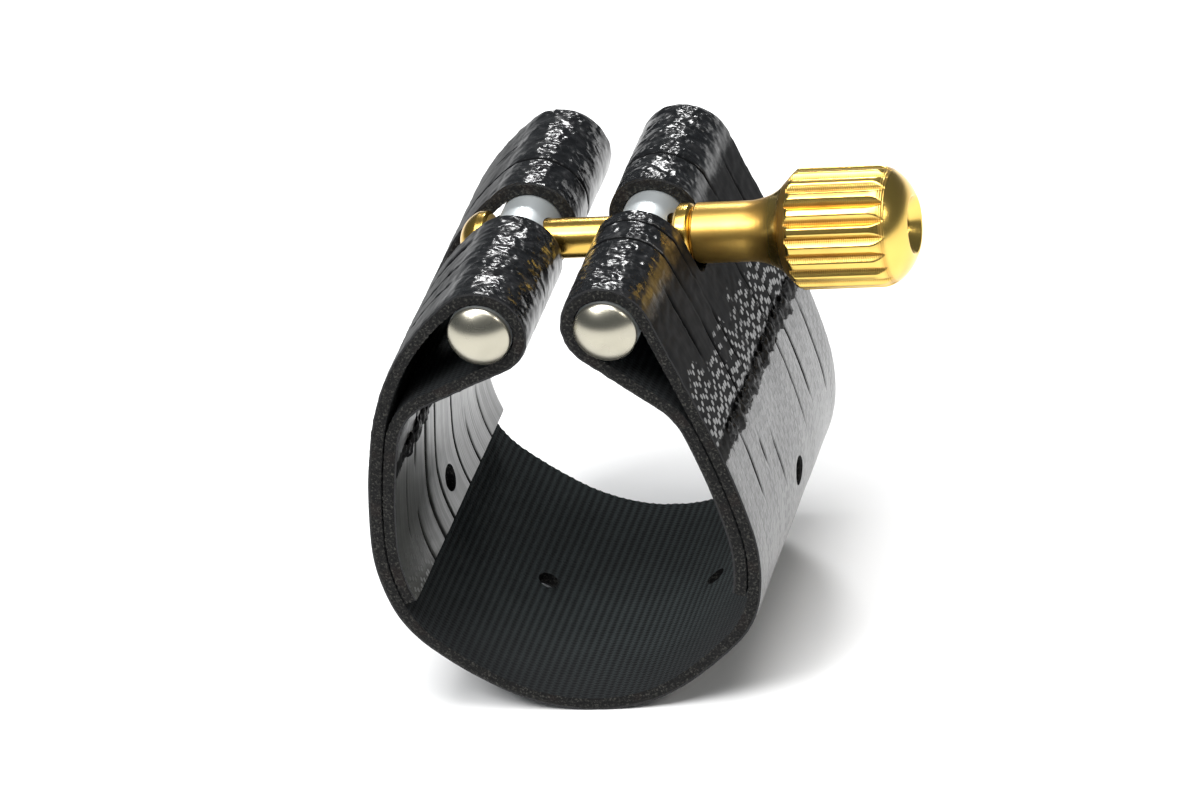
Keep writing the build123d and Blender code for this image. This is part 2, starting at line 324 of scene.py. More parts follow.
class StrapLine:
    """The middle line of half of the strap, with the coated face always on its right.

    Each stretch is (centre, radius, first angle, last angle, facing). facing is 1 where the
    coated face looks away from the centre and -1 where it looks at it. side mirrors x.
    """

    def __init__(self, side):
        self.side = side
        bar = np.array([side * bar_x[side], bar_z])
        turns = (-90 + bottom_half_angle, -90 + shoulder_angle, side_low_angle)
        low, high = polar(bottom_r, turns[0]), polar(side_r, turns[2])
        first = polar(1, turns[1]) - polar(1, turns[0])
        second = polar(1, turns[2]) - polar(1, turns[1])
        r1, r2 = np.linalg.solve(np.stack([first, second], 1), high - low)
        top_turn = side_high_angle + wall_angle
        wall = polar(side_r - wall_radius, side_high_angle)
        top, inward = polar(wall_radius, top_turn, wall), polar(-1.0, top_turn)
        to_top = top - bar
        lead_r = (loop_r**2 - to_top @ to_top) / (2 * (inward @ to_top + loop_r))
        lead = top + inward * lead_r
        loop_start = heading(lead, bar)
        corner = polar(wall_radius - layer_step, top_turn, wall) + inward * flap_corner_r
        swing = math.degrees(math.acos((flap_corner_r + loop_r) / np.linalg.norm(corner - bar)))
        corner_end = heading(corner, bar) - swing
        ring = np.zeros(2)
        arcs = {
            "bottom": (ring, bottom_r, -90.0, turns[0], 1),
            "shoulder": (polar(bottom_r - r1, turns[0]), r1, turns[0], turns[1], 1),
            "rise": (polar(side_r - r2, turns[2]), r2, turns[1], turns[2], 1),
            "side": (ring, side_r, side_low_angle, side_high_angle, 1),
            "wall": (wall, wall_radius, side_high_angle, top_turn, 1),
            "lead": (lead, lead_r, top_turn, loop_start, 1),
            "loop": (bar, loop_r, loop_start, corner_end + 180, 1),
            "bridge": None,
            "corner": (corner, flap_corner_r, corner_end, top_turn, -1),
            "flap_wall": (wall, wall_radius - layer_step, top_turn, side_high_angle, -1),
            "flap": (ring, side_r - layer_step, side_high_angle, flap_end_angle, -1),
        }
        self.bridge = (polar(loop_r, corner_end + 180, bar), polar(flap_corner_r, corner_end, corner))
        self.arcs = arcs
        self.begin, total = {}, 0.0
        for name, arc in arcs.items():
            self.begin[name] = total
            total += self.length(name)
        self.end = total

    def length(self, name):
        """Length of one stretch."""
        arc = self.arcs[name]
        if arc is None:
            return float(np.linalg.norm(self.bridge[1] - self.bridge[0]))
        return abs(arc[1] * math.radians(arc[3] - arc[2]))

    def at(self, s):
        """Points and coated-face directions, as arrays of x and z, at distances s along the line."""
        point, normal = np.zeros((len(s), 2)), np.zeros((len(s), 2))
        for name, arc in self.arcs.items():
            share = (s - self.begin[name]) / self.length(name)
            here = (share >= 0) & ((share <= 1) | (name == "flap"))
            if arc is None:
                way = (self.bridge[1] - self.bridge[0]) / self.length(name)
                point[here] = self.bridge[0] + np.outer(share[here] * self.length(name), way)
                normal[here] = (way[1], -way[0])
                continue
            centre, radius, start, stop, facing = arc
            angle = start + share[here] * (stop - start)
            point[here] = polar(radius, angle, centre)
            normal[here] = polar(float(facing), angle)
        return point * (self.side, 1), normal * (self.side, 1)

    def on(self, name, angle):
        """Distance along the strap of an angle on one of its arcs."""
        arc = self.arcs[name]
        return self.begin[name] + abs(arc[1] * math.radians(angle - arc[2]))

    def crossing(self, height, start, stop):
        """Distance along the strap where it passes a height, between two distances."""
        s = np.linspace(start, stop, 4001)
        z = self.at(s)[0][:, 1]
        rising = z[-1] > z[0]
        return float(np.interp(height, z if rising else z[::-1], s if rising else s[::-1]))


lines = {side: StrapLine(side) for side in (-1, 1)}
print("length of each half of the strap:", {k: round(v.end, 2) for k, v in lines.items()}, "mm")

# %% [markdown]
# Meshes. A surface here is a grid of points, row after row. These helpers turn such arrays into a
# mesh with no loop over the points. Smooth shading stops at sharp folds, as on the real thing.


# %% Mesh helpers
def smooth(t):
    """0 to 1 with level ends: 3t^2 - 2t^3, held at 0 and 1 outside."""
    t = np.clip(t, 0, 1)
    return t * t * (3 - 2 * t)


def value_noise(x, y, size, seed):
    """Cloudy noise from -1 to 1: random heights on a lattice, blended smoothly between."""
    lattice = np.random.RandomState(seed).uniform(-1, 1, (97, 97))
    u, v = np.asarray(x) / size, np.asarray(y) / size
    iu, iv = np.floor(u).astype(int), np.floor(v).astype(int)
    fu, fv = smooth(u - iu), smooth(v - iv)
    corners = [lattice[(iu + a) % 97, (iv + b) % 97] for a in (0, 1) for b in (0, 1)]
    near = corners[0] * (1 - fv) + corners[1] * fv
    far = corners[2] * (1 - fv) + corners[3] * fv
    return near * (1 - fu) + far * fu


def grid_quads(rows, columns, wrap=False):
    """Corner indices of the quads of a grid, rows by columns, closed on itself if wrap."""
    across = columns if wrap else columns - 1
    i, j = np.meshgrid(np.arange(rows - 1), np.arange(across), indexing="ij")
    right = (j + 1) % columns
    quads = [i * columns + j, i * columns + right, (i + 1) * columns + right, (i + 1) * columns + j]
    return np.stack(quads, -1).reshape(-1, 4)


def make_piece(name, points_mm, faces, sharp_angle=40.0, slots=None, attributes=None):
    """A mesh object from points in millimetres and triangles or quads, smooth below an angle."""
    mesh = bpy.data.meshes.new(name)
    sizes = [np.array(f).shape[1] for f in faces]
    loops = np.concatenate([np.array(f).ravel() for f in faces])
    counts = np.concatenate([np.full(len(f), n) for f, n in zip(faces, sizes)])
    mesh.vertices.add(len(points_mm))
    mesh.vertices.foreach_set("co", (np.asarray(points_mm) * MM).astype(np.float32).ravel())
    mesh.loops.add(len(loops))
    mesh.loops.foreach_set("vertex_index", loops.astype(np.int32))
    mesh.polygons.add(len(counts))
    starts = np.concatenate([[0], np.cumsum(counts)[:-1]])
    mesh.polygons.foreach_set("loop_start", starts.astype(np.int32))
    if slots is not None:
        mesh.polygons.foreach_set("material_index", np.asarray(slots, np.int32))
    mesh.update(calc_edges=True)
    mesh.polygons.foreach_set("use_smooth", np.ones(len(counts), bool))
    for key, values in (attributes or {}).items():
        layer = mesh.attributes.new(key, "FLOAT_VECTOR", "POINT")
        layer.data.foreach_set("vector", np.asarray(values, np.float32).ravel())
    mesh.set_sharp_from_angle(angle=math.radians(sharp_angle))
    mesh.validate()
    piece = bpy.data.objects.new(name, mesh)
    bpy.context.scene.collection.objects.link(piece)
    print(name, "-", len(mesh.polygons), "faces")
    return piece


def spaced(stops):
    """Grid lines through every stop. stops is a list of (place, spacing up to the next place)."""
    runs = []
    for (start, gap), (stop, _) in zip(stops, stops[1:]):
        count = max(1, math.ceil((stop - start) / gap - 1e-6))
        runs.append(np.linspace(start, stop, count + 1)[:-1])
    return np.concatenate(runs + [[stops[-1][0]]])


def graded(first, last, base, zones):
    """Grid lines from first to last, base apart, closer inside each (start, stop, spacing) zone."""
    places = sorted({first, last, *(x for zone in zones for x in zone[:2])})
    stops = []
    for start, stop in zip(places, places[1:]):
        middle = (start + stop) / 2
        stops.append((start, min([base] + [gap for a, b, gap in zones if a < middle < b])))
    return spaced(stops + [(last, base)])


def open_edges(quads, count):
    """Corner pairs of the edges that belong to one quad only, where the surface ends."""
    pairs = np.concatenate([quads[:, [k, (k + 1) % 4]] for k in range(4)])
    keys = np.sort(pairs, 1) @ np.array([count, 1])
    _, first, repeats = np.unique(keys, return_index=True, return_counts=True)
    return pairs[first[repeats == 1]]


def fan(ring, pole):
    """Triangles from a pole to each pair of neighbours on a closed ring of points."""
    return np.stack([np.full(len(ring), pole), np.roll(ring, -1), ring], 1)


# %% [markdown]
# The strap. The real one is a strip of woven backing with a glossy black coating, punched with four
# small holes and cut with slots for the screw. It could be a thin sheet with a Solidify modifier,
# but then both faces would have the same relief. Here the coated face and the backing are two grids
# on the same lines, so each has a relief of its own, and the cut edges close the space between.
# Squares of the grid are left out at the holes, and the lines around them are drawn in to the
# circle, which gives a clean round edge with no boolean.


# %% Holes and slots in a grid
def draw_to_circle(s, y, centre, radius, reach=2.2):
    """Pulls grid lines round a square opening to a circle of the same width.

    A point c half-widths out from the centre, by the larger coordinate, is moved to that
    distance from the centre, and the pull fades out at reach half-widths.
    """
    ds, dy = s - centre[0], y - centre[1]
    larger = np.maximum(np.abs(ds), np.abs(dy))
    away = np.maximum(np.hypot(ds, dy), 1e-9)
    pull = 1 - smooth((larger / radius - 1) / (reach - 1))
    scale = 1 + pull * (larger / away - 1)
    return centre[0] + ds * scale, centre[1] + dy * scale


def round_corner(s, y, corner, inward, radius):
    """Rounds one corner of a rectangular opening. inward is the pair of signs towards its middle."""
    centre = (corner[0] + inward[0] * radius, corner[1] + inward[1] * radius)
    a, b = (centre[0] - s) * inward[0], (centre[1] - y) * inward[1]
    moved_s, moved_y = draw_to_circle(s, y, centre, radius)
    outside = (a > 0) & (b > 0)
    return np.where(outside, moved_s, s), np.where(outside, moved_y, y)


# %% [markdown]
# Relief. The coating crinkles where it is bent round the bars, has long thin creases along the
# strap, and is drawn in at the seam. The backing has fine ribs across the strap. Both are heights
# in millimetres on the two numbers of the strap, its distance along and its place across.

# %% Relief of the two faces
# place across, half width, strength along the walls and flap, strength over the loop
crease_rows = {
    -1: [
        (-10.8, 0.12, 0.7, 0.0), (-8.2, 0.15, 1.0, 0.2), (-5.0, 0.26, 1.0, 0.0),
        (-2.2, 0.15, 1.0, 0.0), (2.9, 0.12, 0.9, 0.0), (6.2, 0.14, 0.9, 0.8),
        (9.9, 0.12, 0.7, 0.0),
    ],
    1: [
        (-9.4, 0.13, 1.0, 0.1), (-6.5, 0.13, 1.0, 1.0), (-3.9, 0.12, 0.9, 1.0),
        (3.7, 0.10, 0.6, 0.0), (6.4, 0.13, 0.9, 0.8), (10.6, 0.11, 0.7, 0.0),
    ],
}
crease_deep = 0.16
wave_height = 0.035  # slow waves all over
fold_height = 0.055  # folds of the crinkle over the bars
pebble_height = 0.020  # pebbles between those folds
skin_height = 0.006  # the same pebbles on the flat sides
seam_half = 0.62  # half of the width that the thread pulls up
seam_lump = 0.13
seam_sink = 0.10
rib_depth = 0.075
rib_pitch = 0.65
stitch_pitch = 2.3
seam_margin = 2.4
stitch_count = int((2 * half_width - 2 * seam_margin) / stitch_pitch) + 1
print("creases:", {side: len(rows) for side, rows in crease_rows.items()})
print("stitches to a row:", stitch_count - 1)


def seam_places(line):
    """Distances along the strap of its seam, on the outer layer and on the flap."""
    turn = side_high_angle + seam_angle
    return line.on("wall", turn), line.on("flap_wall", turn)


def crease_depth(line, s, y):
    """How deep a point lies in the long creases of the coating, from 0 to 1."""
    depth = np.zeros_like(s)
    lap = smooth((s - line.begin["loop"] + 2) / 2) * (1 - smooth((s - line.begin["corner"]) / 2))
    for k, (place, width, flat_strength, loop_strength) in enumerate(crease_rows[line.side]):
        strength = flat_strength * (1 - lap) + loop_strength * lap
        drift = place + 0.22 * value_noise(s, s * 0 + k, 8.0, 41 + line.side)
        broken = smooth(0.9 + 1.5 * value_noise(s, s * 0 + 9 * k, 5.0, 51 + k))
        reach = 5.0 + 3.0 * value_noise(place, k, 0.7, 57)
        broken *= np.where(s < line.begin["loop"], smooth((s - seam_places(line)[0] + reach + 3) / 3), 1)
        groove = np.exp(-(((y - drift) / width) ** 2))
        depth = np.maximum(depth, strength * np.maximum(broken, lap) * groove)
    return depth


def coated_relief(line, s, y):
    """Height of the coated face: slow waves, crinkle at the bends, creases and the drawn-in seam."""
    loop_from, loop_to = line.begin["lead"], line.begin["corner"]
    bend = smooth((s - loop_from + 3) / 4) * (1 - smooth((s - loop_to) / 3))
    height = wave_height * value_noise(s, y, 3.7, 11 + line.side)
    folds = 1 - np.abs(value_noise(s * 1.25, y, 0.78, 21 + line.side))
    pebbles = value_noise(s, y * 1.1, 0.43, 31 + line.side)
    height += bend * (fold_height * (folds - 0.5) + pebble_height * pebbles) + skin_height * pebbles
    height -= crease_deep * crease_depth(line, s, y)
    for seam in seam_places(line):
        off = (s - seam) / seam_half
        lumps = 0.55 + 0.45 * np.cos(2 * np.pi * y / stitch_pitch * 2) + 0.7 * value_noise(s, y, 0.5, 61)
        inside = 1 - smooth((np.abs(y) - half_width + 1.2) / 0.9)
        height += inside * seam_lump * lumps * np.exp(-(off**2))
        height -= seam_sink * inside * np.exp(-((off / 2.2) ** 2))
    return height


def backing_relief(line, s, y):
    """Height of the woven face, never above its own level: ribs across the strap and slow waves."""
    ribs = 0.5 + 0.5 * np.cos(2 * np.pi * s / rib_pitch)
    weave = 0.75 + 0.25 * np.cos(2 * np.pi * y / 0.7 + np.pi * np.floor(s / rib_pitch))
    return -rib_depth * (1 - ribs * weave) - 0.012 * (1 + value_noise(s, y, 1.9, 71 + line.side))


# %% [markdown]
# One half of the strap. The openings could be cut by a boolean, but it would leave long thin
# triangles that show in a glossy coating. Here both faces share one grid with the openings left
# out. Every edge that is then open, round the strap, the holes and the slot alike, gets the same
# cut wall, with loose fibres and the line where the coating meets the backing.


# %% Building one half of the strap
LEVELS = 5  # steps through the thickness of a cut wall


def half_strap(name, side):
    """One half of the strap, from the bottom of the ring to the free end of its flap.

    A point at distance s along and y across is the line's point, plus or minus half of the
    thickness along the coated direction, plus that face's relief.
    """
    line = lines[side]
    top = line.begin["loop"] + 0.35 * line.length("loop")
    slot = (
        line.crossing(bar_z - slot_half, line.begin["wall"], top),
        line.crossing(bar_z - slot_half, top, line.begin["corner"]),
    )
    holes = [
        (line.on("bottom", -90 + bottom_hole_angle), bottom_hole_r),
        (line.on("side", side_hole_angle), side_hole_r),
        (line.on("flap", side_hole_angle), side_hole_r),
    ]
    zones = [(0.0, line.begin["side"], rib_pitch / 4), (*slot, 0.2)]
    zones += [(place - radius, place + radius, radius / 5) for place, radius in holes]
    along = graded(0.0, line.end, 0.30, zones)
    zones = [(-slot_half, slot_half, 0.33), (-side_hole_r, -bottom_hole_r, 0.27)]
    zones += [(-bottom_hole_r, bottom_hole_r, bottom_hole_r / 5), (bottom_hole_r, side_hole_r, 0.27)]
    zones += [(place - 0.42, place + 0.42, 0.105) for place, *_ in crease_rows[side]]
    across = graded(-half_width, half_width, 0.38, zones)
    s, y = (g.copy() for g in np.meshgrid(along, across, indexing="ij"))
    rows, columns = s.shape

    middle_s = (along[:-1] + along[1:]) / 2
    middle_y = (across[:-1] + across[1:]) / 2
    cut = (middle_s[:, None] > slot[0]) & (middle_s[:, None] < slot[1]) & (np.abs(middle_y) < slot_half)
    for place, radius in holes:
        cut |= (np.abs(middle_s[:, None] - place) < radius) & (np.abs(middle_y) < radius)
        s, y = draw_to_circle(s, y, (place, 0.0), radius, 1.9)
    for end, away in zip(slot, (1, -1)):
        for edge, towards in ((-slot_half, 1), (slot_half, -1)):
            s, y = round_corner(s, y, (end, edge), (away, towards), slot_end_r)

    point, normal = line.at(s.ravel())
    sv, yv = s.ravel(), y.ravel()
    rim = half_width - np.abs(yv)
    settle = smooth(rim / 0.5)
    fade = smooth(sv / 0.5)
    for place, radius in holes:
        fade = fade * smooth((np.hypot(sv - place, yv) - radius) / 0.4)
    high = strap_t / 2 + coated_relief(line, sv, yv) * fade - 0.05 * (1 - settle)
    low = -strap_t / 2 - backing_relief(line, sv, yv) * fade
    faces_of = []
    for offset in (high, low):
        xz = point + normal * offset[:, None]
        faces_of.append(np.stack([xz[:, 0], yv, xz[:, 1]], 1))
    coat, back = faces_of
    count = len(coat)

    quads = grid_quads(rows, columns)[~cut.ravel()]
    rim_edges = open_edges(quads, count)
    rim_points = np.unique(rim_edges)

    outwards = np.zeros((len(rim_points), 3))
    outwards[:, 1] = np.where(rim[rim_points] < 1e-6, np.sign(yv[rim_points]), 0)
    levels = []
    for k in range(1, LEVELS):
        t = k / LEVELS
        fibre = 0.035 * value_noise(sv[rim_points], yv[rim_points] + 9 * k, 0.22, 81 + k)
        bulge = 0.07 * (1 - (2 * t - 1) ** 4) + fibre - 0.05 * np.exp(-(((t - 0.78) / 0.09) ** 2))
        levels.append(back[rim_points] * (1 - t) + coat[rim_points] * t + outwards * bulge[:, None])
    position = np.full(count, -1)
    position[rim_points] = np.arange(len(rim_points))
    ladder = [rim_edges + count]
    for k in range(LEVELS - 1):
        ladder.append(position[rim_edges] + 2 * count + k * len(rim_points))
    ladder.append(rim_edges)
    walls = np.concatenate([
        np.stack([b[:, 0], b[:, 1], a[:, 1], a[:, 0]], 1) for a, b in zip(ladder[:-1], ladder[1:])
    ])

    points = np.concatenate([coat, back] + levels)
    flat = [np.stack([sv, yv, np.full(count, t)], 1) for t in (1.0, 0.0)]
    for k in range(1, LEVELS):
        flat.append(np.stack([sv[rim_points], yv[rim_points], np.full(len(rim_points), k / LEVELS)], 1))
    flat = np.concatenate(flat)
    marks = np.zeros((len(points), 3))
    marks[:count, 0] = crease_depth(line, sv, yv)
    all_faces = np.concatenate([quads, quads[:, ::-1] + count, walls[:, ::-1]])
    if side < 0:
        all_faces = all_faces[:, ::-1]
    slots = np.repeat([0, 1, 2], [len(quads), len(quads), len(walls)])

    used = np.zeros(len(points), bool)
    used[all_faces.ravel()] = True
    renumber = np.cumsum(used) - 1
    attributes = {"flat_mm": flat[used], "marks": marks[used]}
    return make_piece(name, points[used], [renumber[all_faces]], 50, slots, attributes)


left_half = half_strap("strap_left_half", -1)
right_half = half_strap("strap_right_half", 1)

# %% [markdown]
# Coating. It is almost black, and what is seen of it is reflection, so its finish is mostly
# roughness and bump. Each stretch differs: sharp crinkle over the bars, a dull skin between the
# bars and the seam, with the woven cloth printing through in dashes, and satin on the flat sides.
# One roughness could not be as dull as that skin is, so a second, dull shader is mixed in there.


# %% Finish of the coated face
dull_half = 0.85  # half width of the dull band along a seam


def woven_print(finish, s, y, seam):
    """Dashes where the cloth prints through.

    Each column of yarn is a sine wave along the strap, shifted by a random amount, and highest in
    the middle of the column. Near the seam the dashes grow together.
    """
    column = y / 0.40
    shift = finish.noise(finish.vector(column.call("FLOOR") * 7.31, 0.0), 1.0, 0.0) * 9.0
    dash = ((s / 1.15) * (2 * math.pi) + shift * math.pi).call("SINE")
    ridge = (column * math.pi).call("SINE").call("ABSOLUTE")
    closeness = 1 - s.step(seam + 0.8, seam + 4.0)
    return (dash * ridge + closeness * 0.28).step(0.20, 0.50)


def coating(side):
    """Black coating, made once for each half because the stretches lie at other distances."""
    line = lines[side]
    name = "coating_left" if side < 0 else "coating_right"
    finish = Finish(name, Specular_IOR_Level=0.6, Coat_IOR=1.6, Coat_Roughness=0.3)
    flat = finish.coordinates("flat_mm")
    s, y, _ = finish.parts(flat)
    crease = finish.parts(finish.coordinates("marks"))[0]

    # where each stretch is, as masks from 0 to 1
    seam_outer, seam_inner = seam_places(line)
    loop_start, loop_length = line.begin["loop"], line.length("loop")
    loop = s.band(loop_start + 0.7, loop_start + 0.62 * loop_length, 1.5)
    ragged_s = s + (finish.noise(flat, 1.3, 3.0, 0.7) - 0.5) * 1.5
    ragged = finish.noise(finish.vector(s * 0.15, y * 0.33), 1.0, 2.0)
    seam_band = 0.0
    for seam in (seam_outer, seam_inner):
        seam_band = ragged_s.band(seam - dull_half, seam + dull_half, 0.15) + seam_band
    if side < 0:
        above = ragged_s.band(seam_outer + 2.5, loop_start, 2.5) * 0.8
        printed = (s - (ragged - 0.5) * 4).step(line.end - 4.5, line.end - 3.0)
        printed = printed * (1 - y.step(-9.5, -7.5))
        dull_end = (s - y * 0.28).step(line.end + 1.4, line.end + 3.0)
    else:
        above = ragged_s.band(seam_outer + 0.5, loop_start, 1.0)
        printed = 1 - (s - seam_outer - (ragged - 0.33) * 15.0).step(1.2, 2.2)
    dashes = woven_print(finish, s, y, seam_outer) * printed

    # relief that is too fine for the mesh
    clumps = finish.noise(finish.vector(s * 0.5, y * 0.5), 1.0, 2.0, 0.5)
    crinkle = finish.noise(flat, 1.4, 1.0, 0.45)
    pebble = finish.cells(flat, 2.0)
    fine = finish.noise(flat, 9.0, 2.0)
    scratches = finish.noise(finish.vector(s * 0.07, y * 5.0), 1.0, 2.0, 0.4)
    height = loop * clumps.step(0.30, 0.62) * (crinkle * 0.36 + (1 - pebble) * 0.08)
    height = height + dashes * 0.05 + fine * 0.004 + scratches * 0.036 * (1 - loop)

    # colour: worn patches, a painted sheen that lightens the flap, and painted shade in black down in
    # the creases and along the seam
    worn = finish.noise(flat, 0.9, 4.0).step(0.45, 0.75)
    colour = finish.blend(worn, (0.0040, 0.0043, 0.0050), (0.011, 0.011, 0.012))
    # painted sheen: the flap's coating is lightened to stand for the light it reflects
    flap = s.step(line.begin["flap_wall"] + 0.5, line.begin["flap_wall"] + 2.5) * (1 - seam_band)
    colour = finish.blend(flap * 0.7, colour, (0.085, 0.086, 0.080))
    # painted shade: the coating is made black down in the creases and in a band along each seam
    colour = finish.blend(crease.call("MAXIMUM", seam_band), colour, (0.001, 0.001, 0.001))

    # gloss: how much of the shiny shader is left
    streaks = finish.noise(finish.vector(s * 0.03, y * 2.2), 1.0, 1.0, 0.4)
    gloss = (1 - above * 0.95) * (streaks.step(0.30, 0.66) * 0.22 + 0.78)
    if side < 0:
        gloss = gloss * (1 - dull_end * 0.85)
    gloss = gloss.call("MAXIMUM", dashes) * (1 - crease.step(0.15, 0.5)) * (1 - seam_band * 0.92)
    rough = 0.32 + worn * 0.08 - loop * 0.07
    coat = (1 - loop) * 0.9
    normal = finish.bumped(height)
    finish.feed(Base_Color=colour, Roughness=rough, Normal=normal, Coat_Weight=coat)
    return finish.dulled(gloss, Roughness=0.8, Specular_IOR_Level=0.06)


# %% [markdown]
# Backing. It is a matt charcoal cloth with ribs across the strap. The ribs are in the mesh, and
# the finish adds their colour, the yarn and the fuzz. It could have one flat grey. Here the hollows
# between the ribs are painted darker as shade, the rib tops lighter as a painted highlight, and the
# cloth is painted darker towards the front edge as shade.


# %% Finish of the backing
def backing():
    """Matt charcoal rib weave: random tone, painted shade in the hollows and towards the front, and a
    greener painted highlight on the rib tops.
    """
    finish = Finish("woven_backing", Specular_IOR_Level=0.15, Sheen_Weight=0.03, Sheen_Roughness=0.5)
    flat = finish.coordinates("flat_mm")
    s, y, _ = finish.parts(flat)
    rib = ((s / rib_pitch) * (2 * math.pi)).call("COSINE") * 0.5 + 0.5
    yarn = ((y / 0.35) * (2 * math.pi) + (s / rib_pitch).call("FLOOR") * math.pi).call("SINE")
    fuzz = finish.noise(flat, 7.0, 4.0, 0.65)
    tone = finish.noise(flat, 0.35, 3.0)
    # painted shade and highlight: the rib hollows darker and the rib tops lighter and greener, with
    # random fuzz and tone mixed in
    rib_shade_and_tone = (rib * 0.5 + fuzz * 0.35 + tone * 0.35).step(0.25, 1.0)
    colour = finish.blend(rib_shade_and_tone, (0.007, 0.009, 0.0095), (0.036, 0.045, 0.046))
    # painted shade: the backing darkens towards the front edge, at negative y
    colour = finish.blend((1 - y.step(-15.0, 1.0)) * 0.75, colour, (0.0035, 0.0036, 0.0045))
    height = fuzz * 0.05 + yarn * 0.012
    return finish.feed(Base_Color=colour, Roughness=fuzz * 0.15 + 0.8, Normal=finish.bumped(height))


# %% [markdown]
# Cut edge. Where the strap is cut one sees its layers: a dark fibrous core, speckled brown and
# grey, and the thin black lip of the coating. The layer number stored on the points, 0 at the
# backing and 1 at the coating, says which of them a point is in.


# %% Finish of the cut edge
def cut_edge():
    """Fibrous dark core, speckled brown and grey, under a thin black lip of coating."""
    finish = Finish("cut_edge", Specular_IOR_Level=0.3)
    s, y, layer = finish.parts(finish.coordinates("flat_mm"))
    where = finish.vector(s, y, layer * strap_t)
    speckle = finish.noise(where, 4.2, 5.0, 0.75)
    tufts = finish.cells(where, 4.0)
    core = finish.blend(speckle.step(0.50, 0.66), (0.0020, 0.0020, 0.0022), (0.068, 0.067, 0.058))
    reddish = finish.noise(where, 0.35, 2.0).step(0.52, 0.70)
    core = finish.blend(reddish * 0.22, core, (0.026, 0.013, 0.010))
    lip = layer.step(0.80, 0.88)
    colour = finish.blend(lip, core, (0.009, 0.009, 0.010))
    height = (speckle * 0.26 + (1 - tufts) * 0.10) * (1 - lip * 0.8)
    return finish.feed(Base_Color=colour, Roughness=0.85 - lip * 0.4, Normal=finish.bumped(height))


backing_finish, edge_finish = backing(), cut_edge()
for side, half in ((-1, left_half), (1, right_half)):
    for finish in (coating(side), backing_finish, edge_finish):
        half.data.materials.append(finish)
    print(half.name, "finishes:", [m.name for m in half.data.materials])

# %% [markdown]
# Turned pieces. The brass parts come off a lathe, so each is a profile spun about the screw's
# axis. Blender's Spin or a Screw modifier could do that, but the knob's radius also changes round
# the turn, because of its flutes, and the stud's because of its thread. A grid of radii over
# distance and angle handles all of them in the same way.

# %% Sizes of the turned pieces
screw_z = bar_z
stud_r = (span("threaded_stud", 2)[1] - span("threaded_stud", 2)[0]) / 2
shank_r = 1.575
shank_fit = 0.06
head_rim = 0.85
edge_break = 0.25
thread_fit = 0.05
neck_x, knob_end_x = span("thumb_knob", 0)
knob_r = 4.67
neck_length = 7.25
neck_flare = 3.0
neck_flare_r = 3.48
knob_straight = 6.3
knob_rim_r = 2.35
recess_depth = 2.4
recess_bore_r = 1.45
drill_slope = 30.0
flute_count = 20
flute_depth = 0.4
flute_width = 0.86
washer_x, washer_end_x = span("thrust_washer", 0)
head_end_x, shank_end_x = span("sleeve_nut", 0)
face_gap = 0.03
head_face_x = span("left_bar", 0)[0] - face_gap
bevel_x = neck_x + neck_length
straight_x = bevel_x + knob_r - neck_flare_r
dome_x = straight_x + knob_straight
print("knob radius", knob_r, "head radius", round(head_r, 3), "stud radius", round(stud_r, 3))

# %% [markdown]
# Profiles. A lathe tool leaves no perfectly sharp corner, and a small round is what catches the
# light on one. A Bevel modifier could add it, but on a profile it is only a short curve at each
# corner, and the spun mesh then stays clean.


# %% Profiles and spinning
def soften(corners, steps=5):
    """A profile with each corner rounded: corners are (x, radius, rounding).

    A rounded corner is a parabola from a point on one side to a point on the other, both the
    rounding away from it.
    """
    xy = np.array([c[:2] for c in corners], float)
    out = [xy[:1]]
    for k in range(1, len(xy) - 1):
        size = corners[k][2]
        if size <= 0:
            out.append(xy[k : k + 1])
            continue
        back, ahead = xy[k - 1] - xy[k], xy[k + 1] - xy[k]
        reach = min(size, 0.45 * np.linalg.norm(back), 0.45 * np.linalg.norm(ahead))
        first = xy[k] + back / np.linalg.norm(back) * reach
        last = xy[k] + ahead / np.linalg.norm(ahead) * reach
        t = np.linspace(0, 1, steps)[:, None]
        out.append(first * (1 - t) ** 2 + xy[k] * 2 * t * (1 - t) + last * t**2)
    out.append(xy[-1:])
    return np.concatenate(out)


def densify(profile, gap):
    """The same profile with points no further apart than gap."""
    lengths = np.linalg.norm(np.diff(profile, axis=0), axis=1)
    counts = np.maximum(1, np.ceil(lengths / gap).astype(int))
    pieces = [
        profile[k] + np.linspace(0, 1, n, endpoint=False)[:, None] * (profile[k + 1] - profile[k])
        for k, n in enumerate(counts)
    ]
    return np.concatenate(pieces + [profile[-1:]])


